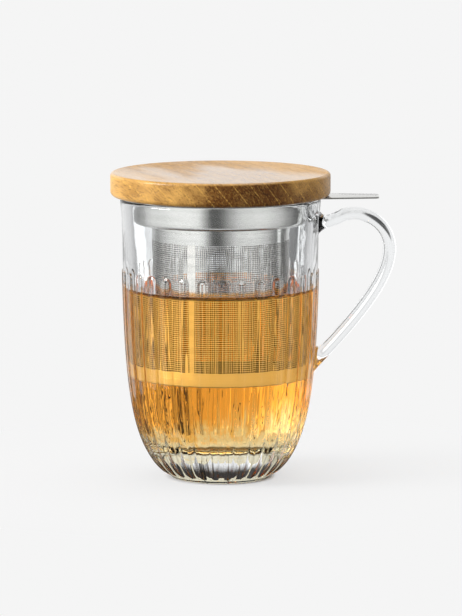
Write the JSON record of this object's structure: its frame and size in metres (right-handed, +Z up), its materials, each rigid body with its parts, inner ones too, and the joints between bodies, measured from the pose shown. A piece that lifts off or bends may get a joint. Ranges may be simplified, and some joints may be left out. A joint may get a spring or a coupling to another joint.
{
  "type": "lidded tea mug with infuser",
  "caption": "Ribbed glass tea mug with a glass handle, a lift-out perforated steel infuser with a lifting tab, and a round wooden lid.",
  "frame": {"origin": "centre of the flat foot, on the mug's axis, in the plane of the table", "axes": "+Z up along the mug's axis, +X towards the handle and the infuser's lifting tab"},
  "size_m": [0.1207, 0.093, 0.13],
  "materials": {
    "clear_glass": "polished pressed glass",
    "steel": "satin",
    "wood": "oiled",
    "silicone": "matt translucent silicone"
  },
  "bodies": {
    "mug": {"glass_body": "clear_glass", "glass_handle": "clear_glass"},
    "infuser": {"infuser_collar": "steel", "lift_tab": "steel", "strainer_wall": "steel", "strainer_base": "steel"},
    "lid": {"lid_disc": "wood", "lid_seal": "silicone"}
  },
  "joints": [
    {"name": "infuser_lift", "type": "slide", "parent": "mug", "child": "infuser", "axis": [0, 0, 1], "range_m": [0, 0.1]},
    {"name": "lid_lift", "type": "slide", "parent": "infuser", "child": "lid", "axis": [0, 0, 1], "range_m": [0, 0.06]}
  ]
}
